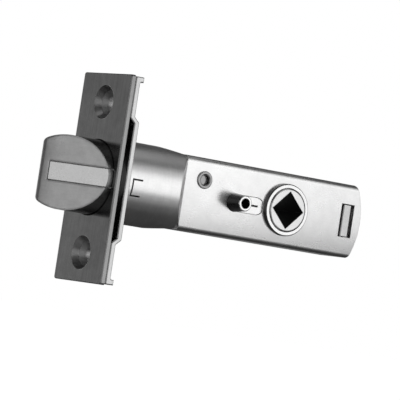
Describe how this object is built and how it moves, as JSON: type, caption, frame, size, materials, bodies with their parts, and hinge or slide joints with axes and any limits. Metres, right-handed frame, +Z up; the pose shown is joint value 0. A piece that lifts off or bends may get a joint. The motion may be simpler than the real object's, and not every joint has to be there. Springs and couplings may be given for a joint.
{
  "type": "tubular door latch",
  "caption": "Tubular door latch: bevelled spring bolt through a flat faceplate, round barrel and flat case with a square hub that draws the bolt back and a sliding lock post.",
  "frame": {"origin": "centre of the faceplate's front face, on the bolt axis", "axes": "+X back into the door along the bolt axis, +Y to the far side of the case across the door's thickness, +Z up along the faceplate"},
  "size_m": [0.1, 0.0241, 0.0572],
  "materials": {
    "satin_plate": "brushed satin nickel plate",
    "satin_bolt": "satin nickel plated die casting",
    "zinc_steel": "bright zinc plated sheet",
    "nickel_steel": "bright nickel plated sheet",
    "hub_steel": "sintered steel, plated",
    "plain_steel": "plain stamped steel",
    "spring_steel": "drawn spring wire",
    "black_nylon": "moulded black nylon",
    "bright_steel": "bright stainless strip"
  },
  "bodies": {
    "housing": {"faceplate": "satin_plate", "backing_plate": "zinc_steel", "barrel": "zinc_steel", "bolt_guide": "black_nylon", "case_shell_near": "nickel_steel", "case_shell_far": "nickel_steel", "tail_key": "zinc_steel", "case_rivet": "zinc_steel", "hub_bush_near": "nickel_steel", "hub_bush_far": "nickel_steel", "spring_seat": "plain_steel", "bolt_spring": "spring_steel", "return_spring_upper": "spring_steel", "return_spring_lower": "spring_steel", "tail_block": "black_nylon", "slot_rail": "nickel_steel"},
    "bolt": {"bolt_head": "satin_bolt", "bolt_insert": "bright_steel", "bolt_stem": "plain_steel", "stem_pin": "plain_steel", "drawbar": "plain_steel", "stem_nut": "plain_steel"},
    "hub": {"hub": "hub_steel"},
    "lock": {"lock_plate": "plain_steel", "lock_post": "nickel_steel"}
  },
  "joints": [
    {"name": "bolt_slide", "type": "slide", "parent": "housing", "child": "bolt", "axis": [1, 0, 0], "range_m": [0, 0.0124], "stiffness_N_per_m": 600, "springref_m": -0.008, "deforming": ["bolt_spring", "return_spring_upper", "return_spring_lower"]},
    {"name": "hub_turn", "type": "hinge", "parent": "housing", "child": "hub", "pos_m": [0.06032, 0, 0], "axis": [0, 1, 0], "range_deg": [0, 86.8]},
    {"name": "lock_slide", "type": "slide", "parent": "housing", "child": "lock", "axis": [1, 0, 0], "range_m": [0, 0.007]}
  ],
  "couplings": [
    {"joint": "hub_turn", "follows": "bolt_slide", "rad_per_m": 122.17}
  ]
}
